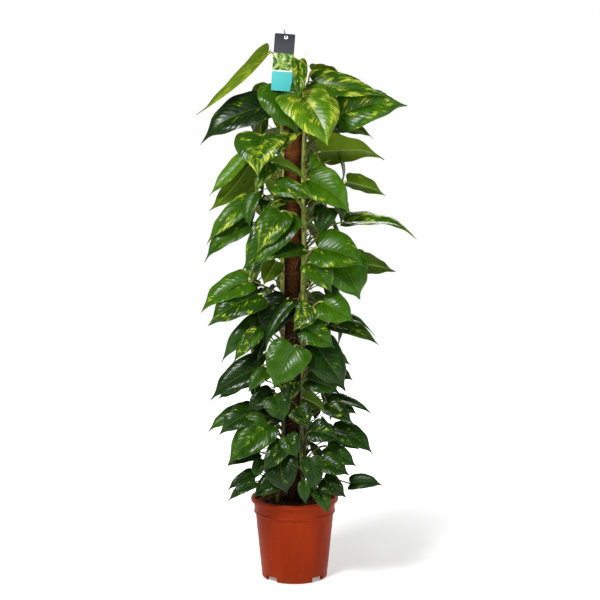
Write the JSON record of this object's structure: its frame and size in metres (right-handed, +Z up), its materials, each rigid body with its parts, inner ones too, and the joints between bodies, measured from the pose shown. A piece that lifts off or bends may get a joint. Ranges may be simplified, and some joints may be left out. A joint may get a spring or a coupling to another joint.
{
  "type": "potted climbing pothos plant",
  "caption": "Climbing aroid with heart-shaped, yellow-marbled leaves on a coir pole, in a ridged plastic nursery pot with a care label hung from the top of the pole.",
  "frame": {"origin": "centre of the pot's underside, on the surface that the pot stands on", "axes": "+Z up along the pole, -Y towards the plant's front, +X to the plant's right as seen from the front"},
  "size_m": [0.5934, 0.459, 1.4867],
  "materials": {
    "pot": "satin",
    "soil": "matte",
    "stake": "matte",
    "coir": "matte",
    "foliage": "satin",
    "card": "satin",
    "stick": "satin"
  },
  "bodies": {
    "root": {"pot": "pot", "soil": "soil", "pole_core": "stake", "pole_coir": "coir", "vine_left": "foliage", "vine_front": "foliage", "vine_right": "foliage", "vine_back": "foliage", "label_card": "card", "label_stick": "stick"}
  },
  "joints": []
}
